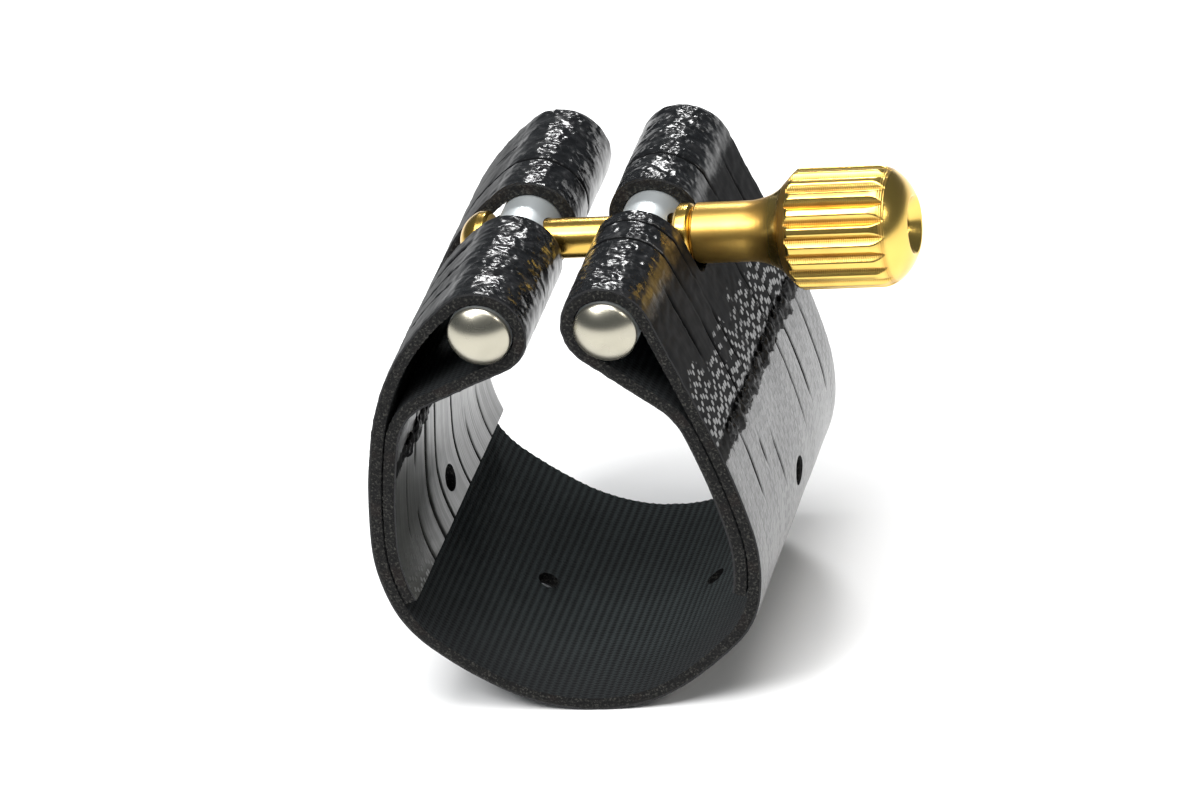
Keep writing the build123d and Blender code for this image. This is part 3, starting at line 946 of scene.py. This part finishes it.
def spin(name, profile, segments, radius_of=None, closed=False, sharp=35.0):
    """A profile of (x, radius) spun about the screw's axis.

    The point at profile place k and angle a is (x, r cos a, screw height + r sin a), where r may
    be changed by radius_of(x, r, a). A profile that starts or ends on the axis is closed there by
    a fan, and a closed profile is a ring.
    """
    angle = np.arange(segments) * 2 * np.pi / segments
    x, r = profile[:, 0], profile[:, 1]
    start_pole, end_pole = r[0] < 1e-9, r[-1] < 1e-9
    body = slice(1 if start_pole and not closed else 0, len(x) - (1 if end_pole and not closed else 0))
    xs, turn = np.meshgrid(x[body], angle, indexing="ij")
    rs = np.repeat(r[body][:, None], segments, 1)
    if radius_of is not None:
        rs = radius_of(xs, rs, turn)
    points = np.stack([xs, rs * np.cos(turn), screw_z + rs * np.sin(turn)], -1).reshape(-1, 3)
    rows = xs.shape[0]
    quads = grid_quads(rows, segments, wrap=True)
    faces = [quads]
    ring = np.arange(segments)
    if closed:
        after = np.roll(ring, -1)
        last = (rows - 1) * segments
        faces = [np.concatenate([quads, np.stack([last + ring, last + after, after, ring], 1)])]
    else:
        extra = []
        if start_pole:
            extra.append(fan(ring, len(points)))
            points = np.concatenate([points, [[x[0], 0, screw_z]]])
        if end_pole:
            last = (rows - 1) * segments
            extra.append(fan(last + ring, len(points))[:, [0, 2, 1]])
            points = np.concatenate([points, [[x[-1], 0, screw_z]]])
        faces.append(np.concatenate(extra))
    return make_piece(name, points, faces, sharp)


# %% [markdown]
# The knob. Its grip is cut with twenty straight V flutes. They are open through the bevel, which
# gives the zigzag edge there, and they run out in points on the dome. Nothing has to be placed for
# that: the surface is simply the lower of the turned shape and the V, at every point.


# %% Thumb knob
def hermite(start, end, start_way, end_way, count=24):
    """A cubic from one point to another that leaves and arrives along two directions."""
    t = np.linspace(0, 1, count)[:, None]
    size = np.linalg.norm(np.subtract(end, start))
    a, b = (np.array(w) / np.linalg.norm(w) * size for w in (start_way, end_way))
    p, q = np.array(start), np.array(end)
    return (
        p * (2 * t**3 - 3 * t**2 + 1) + a * (t**3 - 2 * t**2 + t)
        + q * (3 * t**2 - 2 * t**3) + b * (t**3 - t**2)
    )


def fluted(x, r, turn):
    """The lower of the turned radius and the V flutes, with a small round where they meet."""
    pitch = 2 * np.pi / flute_count
    off = (turn / pitch + 0.5) % 1.0 - 0.5
    width = np.sqrt((off * pitch * knob_r) ** 2 + 0.05**2) - 0.05
    groove = knob_r - flute_depth + width * 2 * flute_depth / flute_width
    grip = (x > bevel_x - 0.4) & (r > knob_r - flute_depth - 0.5)
    soft = 0.022
    lower = -soft * np.logaddexp(-r / soft, -groove / soft)
    return np.where(grip, lower, r)


flare_x = bevel_x - neck_flare
recess_wall_x = knob_end_x - (knob_rim_r - recess_bore_r)
recess_floor_x = knob_end_x - recess_depth
neck = soften([
    (neck_x, 0, 0), (neck_x, head_r - edge_break, 0.05),
    (neck_x + edge_break, head_r, 0.08), (flare_x, head_r, 0),
])
flare = hermite((flare_x, head_r), (bevel_x, neck_flare_r), (1, 0), (1, 1))
bevel = np.array([(bevel_x, neck_flare_r), (straight_x - 0.12, knob_r - 0.12)])
shoulder = np.array([
    (straight_x - 0.06, knob_r - 0.05), (straight_x + 0.02, knob_r - 0.01),
    (straight_x + 0.12, knob_r),
])
grip_line = densify(np.array([(straight_x + 0.3, knob_r), (dome_x - 0.2, knob_r)]), 0.8)
dome = hermite((dome_x, knob_r), (knob_end_x, knob_rim_r), (1, 0), (0.35, -1), 60)
drill_tip = recess_bore_r * math.tan(math.radians(drill_slope))
recess = soften([
    (knob_end_x, knob_rim_r, 0), (knob_end_x - 0.05, knob_rim_r - 0.14, 0.05),
    (recess_wall_x, recess_bore_r, 0.08), (recess_floor_x, recess_bore_r, 0.05),
    (recess_floor_x - drill_tip, 0, 0),
])
knob_profile = np.concatenate([
    neck, flare[1:], densify(bevel, 0.05)[1:], shoulder, grip_line, dome, recess[1:],
])
thumb_knob = spin("thumb_knob_turned", knob_profile, flute_count * 22, fluted, sharp=40)

# %% [markdown]
# Sleeve nut, washer and stud. The sleeve nut's head is a low dome with a bright rim. The washer is
# a plain thick ring with its edges broken. The stud is hidden at rest, but it shows as the
# ligature opens, so it has its real right-hand thread: the radius falls along a helix.

# %% The other brass pieces
head_dome = head_face_x - head_rim - head_end_x
sphere_r = (head_r**2 + head_dome**2) / (2 * head_dome)
reach = math.asin(head_r / sphere_r)
bow = np.linspace(0, reach, 26)
dome_arc = np.stack([head_end_x + sphere_r * (1 - np.cos(bow)), sphere_r * np.sin(bow)], 1)
bore = stud_r + thread_fit
sleeve_rest = soften([
    (head_face_x - head_rim, head_r, 0), (head_face_x - head_rim + 0.06, head_r, 0),
    (head_face_x - edge_break, head_r, 0.06), (head_face_x, head_r - edge_break, 0.05),
    (head_face_x, shank_r, 0.0), (shank_end_x, shank_r, 0.08), (shank_end_x, bore, 0.04),
    (head_face_x, bore, 0), (head_face_x - 0.4, 0, 0),
])
sleeve = spin("sleeve_nut_turned", np.concatenate([dome_arc, sleeve_rest[1:]]), 128)

washer_bore = stud_r + 0.12
washer_corners = [
    (washer_x, washer_bore, 0), (washer_x, head_r - edge_break, 0.05),
    (washer_x + edge_break, head_r, 0.05), (washer_end_x - edge_break, head_r, 0.05),
    (washer_end_x, head_r - edge_break, 0.05), (washer_end_x, washer_bore, 0),
]
washer = spin("thrust_washer_turned", soften(washer_corners), 128, closed=True)

thread_pitch = 0.454
thread_depth = 0.20
stud_end_x, stud_seat_x = span("threaded_stud", 0)


def threaded(x, r, turn):
    """A right-hand V thread: the radius falls with the distance from a helix."""
    phase = (x / thread_pitch - turn / (2 * np.pi)) % 1.0
    valley = np.abs(phase - 0.5) * 2
    return r - thread_depth * (1 - smooth(valley * 1.15)) * smooth((r - 0.4) / 0.3)


stud_corners = [
    (stud_end_x, 0, 0), (stud_end_x, stud_r - 0.3, 0.05), (stud_end_x + 0.3, stud_r, 0.05),
    (stud_seat_x, stud_r, 0), (stud_seat_x, 0, 0),
]
stud = spin("threaded_stud_cut", densify(soften(stud_corners), thread_pitch / 8), 40, threaded, sharp=60)

# %% [markdown]
# Brass. Polished brass is a mirror that colours what it reflects, so it looks flat without the
# fine rings that a lathe leaves. The rings are noise that changes only along the screw. The metal
# is a little darker and redder down in the flutes and in the recess.


# %% Finishes of the brass
def brass(name, ring_depth, tone=(0.86, 0.59, 0.15), base_rough=0.21, hollow_radius=None):
    """Turned brass, polished, with rings along the screw and darker below a radius."""
    finish = Finish(name, Metallic=1.0)
    place = finish.coordinates()
    x, y, z = finish.parts(place)
    radius = (y * y + (z - screw_z * MM) * (z - screw_z * MM)).call("SQRT") / MM
    along = x / MM
    rings = finish.noise(finish.vector(along, 0.0), 7.0, 3.0, 0.7)
    hairs = finish.noise(finish.vector(along, 0.0), 26.0, 2.0, 0.6)
    clouds = finish.noise(place, 260.0, 3.0)
    height = rings * ring_depth + hairs * ring_depth * 0.35
    rough = clouds * 0.10 + hairs * 0.06 + (base_rough - 0.06)
    dark = clouds.step(0.35, 0.85) * 0.35
    if hollow_radius is not None:
        chatter = ((along / 0.17) * (2 * math.pi)).call("SINE") * 0.5 + 0.5
        low = 1 - radius.step(hollow_radius - 0.34, hollow_radius - 0.10)
        grip = along.band(bevel_x + 0.2, dome_x + 1.2, 0.2)
        dark = dark + low * grip * 0.55
        height = height + chatter * low * grip * 0.030
        rough = rough + low * grip * 0.12
        neck = 1 - along.step(bevel_x - 1.6, bevel_x - 0.4)
        dark = dark + neck * 0.45
        height = height + (rings * 0.010 + hairs * 0.004) * neck
        rough = rough + neck * 0.12
        in_bore = 1 - radius.step(recess_bore_r, recess_bore_r + 0.12)
        recess = along.step(dome_x + 0.6, dome_x + 0.9) * in_bore
        dark = dark + recess * 0.5
    colour = finish.blend(dark.call("MINIMUM", 1.0), tone, (0.42, 0.21, 0.045))
    return finish.feed(Base_Color=colour, Roughness=rough, Normal=finish.bumped(height))


knob_brass = brass("knob_brass", 0.004, hollow_radius=knob_r)
sleeve_brass = brass("sleeve_brass", 0.003, tone=(0.74, 0.48, 0.11))
thumb_knob.data.materials.append(knob_brass)
for piece in (sleeve, washer, stud):
    piece.data.materials.append(sleeve_brass)

# %% [markdown]
# Bars. Each is a steel rod with domed ends and a hole across it for the screw. The hole's edge is
# where two round surfaces meet, which a boolean would cut raggedly. Here the rod's own grid lines
# are drawn in to the edge, as for the strap's holes, and the wall of the hole joins both sides.

# %% Steel bars
bar_proud = 0.45  # how far the straight rod reaches past the strap
lip = 0.10  # the rounding between the straight rod and its dome
bar_straight = half_width + bar_proud
bar_end = span("left_bar", 1)[1]
dome_height = bar_end - bar_straight
bore_r = shank_r + shank_fit


def bar_profile():
    """Places along the rod and its radius at each: level, then a small lip, then a domed end.

    The dome is an arc of a sphere, and the lip is a parabola that starts level and meets it.
    """
    middle = spaced([
        (-bar_straight, 0.6), (-bore_r * 1.6, 0.2), (-bore_r, 0.16), (bore_r, 0.2),
        (bore_r * 1.6, 0.6), (bar_straight, 0.6),
    ])
    ball = (bar_r**2 + dome_height**2) / (2 * dome_height)
    bow = np.linspace(math.asin(bar_r / ball), 0, 22)
    dome_y = bar_straight + dome_height - ball * (1 - np.cos(bow))
    dome_r = ball * np.sin(bow)
    soft = np.linspace(0, 1, 6)[1:-1]
    lip_y = bar_straight - lip + soft * lip + (dome_y[1] - bar_straight) * soft**2
    lip_r = bar_r + (dome_r[1] - bar_r) * soft**2
    end_y = np.concatenate([[bar_straight - lip], lip_y, dome_y[1:-1]])
    end_r = np.concatenate([[bar_r], lip_r, dome_r[1:-1]])
    y = np.concatenate([-end_y[::-1], middle[1:-1], end_y])
    r = np.concatenate([end_r[::-1], np.full(len(middle) - 2, bar_r), end_r])
    return y, r


def steel_bar(name, x):
    """A domed rod along Y with a round hole along X.

    The rod's surface at distance y and angle a is (r cos a, y, r sin a). Near the hole, y and
    r sin a are pulled to the circle together, and x follows from the rod's radius.
    """
    block = math.degrees(math.asin(bore_r / bar_r))
    step = 4.0
    quarter = spaced([(-90, step), (-block, step), (block, step), (90, step)])
    angle = np.radians(np.concatenate([quarter[:-1], (180 - quarter[::-1])[:-1]]))
    y, r = bar_profile()
    ys, turn = np.meshgrid(y, angle, indexing="ij")
    rs = np.repeat(r[:, None], len(angle), 1)
    xs, zs = rs * np.cos(turn), rs * np.sin(turn)
    near = np.abs(ys) < bore_r * 1.5
    moved_y, moved_z = draw_to_circle(ys, zs, (0.0, 0.0), bore_r, reach=1.4)
    zs = np.where(near, moved_z, zs)
    ys = np.where(near, moved_y, ys)
    on_rod = np.sqrt(np.maximum(bar_r**2 - zs**2, 0))
    xs = np.where(near, np.sign(np.round(xs, 9)) * on_rod, xs)
    points = np.stack([xs + x, ys, zs + bar_z], -1).reshape(-1, 3)
    rows, columns = ys.shape
    quads = grid_quads(rows, columns, wrap=True)
    mid_y = (y[:-1] + y[1:]) / 2
    next_angle = np.roll(angle, -1)
    mid_z = bar_r * (np.sin(angle) + np.sin(next_angle)) / 2
    facing_x = np.abs(np.cos(angle) + np.cos(next_angle)) > 0.5
    cut = (np.abs(mid_y)[:, None] < bore_r) & (np.abs(mid_z) < bore_r) & facing_x
    kept, removed = quads[~cut.ravel()], quads[cut.ravel()]
    rim = open_edges(removed, len(points))
    right = rim[np.cos(angle[rim[:, 0] % columns]) > 0]
    left = (right // columns) * columns + (columns - right % columns) % columns
    wall = np.stack([right[:, 1], right[:, 0], left[:, 0], left[:, 1]], 1)
    ring = np.arange(columns)
    last = (rows - 1) * columns
    front_fan = fan(ring, len(points))[:, [2, 1, 0]]
    back_fan = fan(last + ring, len(points) + 1)[:, [1, 2, 0]]
    fans = np.concatenate([front_fan, back_fan])
    points = np.concatenate([points, [[x, -bar_end, bar_z], [x, bar_end, bar_z]]])
    return make_piece(name, points, [np.concatenate([kept[:, ::-1], wall]), fans], 35)


bars = {-1: steel_bar("left_bar_turned", bar_x[-1]), 1: steel_bar("right_bar_turned", bar_x[1])}

# %% [markdown]
# Steel. The rod is satin along its length, as a drawn rod usually is, and its domed ends are
# polished. One roughness would make the ends dull or the rod a mirror, so the roughness
# and the colour both change where the dome begins.


# %% Finish of the bars
def steel():
    """Satin steel along the rod, polished and a little warmer on the domed ends."""
    finish = Finish("bar_steel", Metallic=1.0)
    place = finish.coordinates()
    y = finish.parts(place)[1]
    from_middle = (y / MM).call("ABSOLUTE")
    polished = from_middle.step(bar_straight - 0.6, bar_straight + 0.1)
    rings = finish.noise(finish.vector(y / MM, 0.0), 9.0, 3.0, 0.7)
    clouds = finish.noise(place, 300.0, 3.0)
    colour = finish.blend(polished, (0.78, 0.82, 0.83), (0.45, 0.425, 0.345))
    colour = finish.blend(clouds.step(0.5, 0.9) * 0.3, colour, (0.34, 0.33, 0.31))
    rough = 0.50 - polished * 0.27 + clouds * 0.08
    return finish.feed(Base_Color=colour, Roughness=rough, Normal=finish.bumped(rings * 0.003))


bar_steel = steel()
for bar in bars.values():
    bar.data.materials.append(bar_steel)

# %% [markdown]
# Stitches. The seam is a lockstitch in thick waxed thread. On each face one sees a row of short
# fat stitches, each rising from one needle hole and diving into the next. A row could be one tube
# on a curve, but a real stitch is fattest in its middle and shows the twist of its two plies, so
# each is its own small closed tube whose radius follows both.

# %% Stitched seams
thread_r = 0.32
stitch_rise = 0.36  # from the needle hole up to the face
stitch_flat = 0.80  # height of the oval section, as a share of its radius
stitch_wide = 2.1  # width of the same


def stitch_row(name, side, place, seed):
    """A row of stitches at a distance along the strap.

    Along one stitch, t runs from 0 to 1. The centre follows a low arch that starts and ends well
    inside the strap. The section is a flattened oval, wide on the face and low above it. Two plies
    wind round it, and cloudy noise makes it as lumpy as waxed thread that has been pulled tight.
    """
    draws = np.random.RandomState(seed)
    point, normal = lines[side].at(np.array([place]))
    out = np.array([normal[0, 0], 0, normal[0, 1]])
    along = np.array([0, 1, 0])
    up = np.cross(out, along)
    rings, around = 34, 22
    turns = np.arange(around) * 2 * np.pi / around
    t, turn = np.meshgrid(np.linspace(0, 1, rings), turns, indexing="ij")
    ring = np.arange(around)
    last = (rings - 1) * around
    points, quads, fans = [], [], []
    for k in range(stitch_count - 1):
        start = (k - (stitch_count - 1) / 2) * stitch_pitch
        lean = draws.uniform(-0.50, 0.50)
        slip = draws.uniform(-0.24, 0.24)
        lift = draws.uniform(0.00, 0.10)
        fat = draws.uniform(0.90, 1.15)
        twist = 2 * np.pi * draws.uniform(1.4, 1.9)
        arch = np.sin(np.pi * t) ** 0.45
        plies = 1 + 0.20 * np.cos(2 * (turn - twist * t))
        lumps = 1 + 0.42 * value_noise(t * stitch_pitch + 3 * k, turn * 0.7, 0.36, seed + 7)
        radius = thread_r * fat * (0.45 + 0.55 * arch) * plies * lumps
        centre_y = start + stitch_pitch * (1.26 * t - 0.13)
        height = strap_t / 2 - stitch_rise + (stitch_rise + lift) * arch
        offset = height + stitch_flat * radius * np.cos(turn)
        across = slip + lean * (t - 0.5) * 2 + stitch_wide * radius * np.sin(turn)
        base = np.array([point[0, 0], 0, point[0, 1]])
        spot = base + offset[..., None] * out + across[..., None] * up + centre_y[..., None] * along
        number = len(points) * (rings * around + 2)
        spot = spot.reshape(-1, 3)
        ends = np.stack([spot[:around].mean(0), spot[-around:].mean(0)])
        points.append(np.concatenate([spot, ends]))
        quads.append(grid_quads(rings, around, wrap=True) + number)
        fans.append(fan(ring, rings * around) + number)
        fans.append(fan(last + ring, rings * around + 1)[:, [0, 2, 1]] + number)
    outwards = [np.concatenate(group)[:, ::-1] for group in (quads, fans)]
    return make_piece(name, np.concatenate(points), outwards, 60)


rows_of_stitches = {}
for side, label in ((-1, "left"), (1, "right")):
    for kind, place in zip(("needle", "bobbin"), seam_places(lines[side])):
        row = stitch_row(f"{label}_{kind}_stitches", side, place, 100 + side)
        rows_of_stitches[side, kind] = row

# %% [markdown]
# Thread. It is black and looks waxed, with a broken shine. It could share the coating's finish,
# but the coating has no fibres.


# %% Finish of the thread
def waxed_thread():
    """Black waxed thread: a broken gloss over fine fibres."""
    finish = Finish("waxed_thread", Specular_IOR_Level=0.22)
    place = finish.coordinates()
    fuzz = finish.noise(place, 4200.0, 4.0, 0.7)
    lumps = finish.noise(place, 1300.0, 2.0)
    colour = finish.blend(fuzz.step(0.4, 0.75), (0.0015, 0.0015, 0.0016), (0.005, 0.005, 0.005))
    height = fuzz * 0.06 + lumps * 0.12
    return finish.feed(Base_Color=colour, Roughness=0.26 + fuzz * 0.25, Normal=finish.bumped(height))


thread_finish = waxed_thread()
for row in rows_of_stitches.values():
    row.data.materials.append(thread_finish)

# %% [markdown]
# Motion. Turning the screw slides both bars along it, and the strap gives: its loops go with their
# bars, and the bottom of the ring stays. Here each bar and each brass piece rides on its body. The
# halves of the strap and their stitches are set where they stand and ride on no body, and each
# piece takes the place of its CAD part, which is hidden.

# %% Ride and replace
bend_to = Vector((0, 0, bar_z - slot_half)) * MM
body_of_side = {-1: "left_bar", 1: "right_bar"}
for side, label, half in ((-1, "left", left_half), (1, "right", right_half)):
    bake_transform(half)
    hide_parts("strap")
    for kind in ("needle", "bobbin"):
        row = rows_of_stitches[side, kind]
        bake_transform(row)
        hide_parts(f"{label}_{kind}_thread")
    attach(bars[side], body_of_side[side])
    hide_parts(f"{label}_bar")
for piece, body, node in (
    (sleeve, "left_bar", "sleeve_nut"),
    (washer, "washer", "thrust_washer"),
    (stud, "thumb_screw", "threaded_stud"),
    (thumb_knob, "thumb_screw", "thumb_knob"),
):
    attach(piece, body)
    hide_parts(node)

# %% [markdown]
# Floor. A plain pale sheet under the lowest point of the ring. It could be a curved backdrop, but
# from this high a view only the floor is seen.

# %% Floor and finish
floor_half = 1.5
floor_mesh = bpy.data.meshes.new("floor")
floor_z = strap_floor * MM
square = [(-1, -1), (1, -1), (1, 1), (-1, 1)]
corners = [(x * floor_half, y * floor_half, floor_z) for x, y in square]
floor_mesh.from_pydata(corners, [], [(0, 1, 2, 3)])
floor = bpy.data.objects.new("floor", floor_mesh)
bpy.context.scene.collection.objects.link(floor)
floor_finish = Finish("pale_floor", Base_Color=(0.90, 0.90, 0.90, 1), Roughness=0.7)
floor_mesh.materials.append(floor_finish.material)
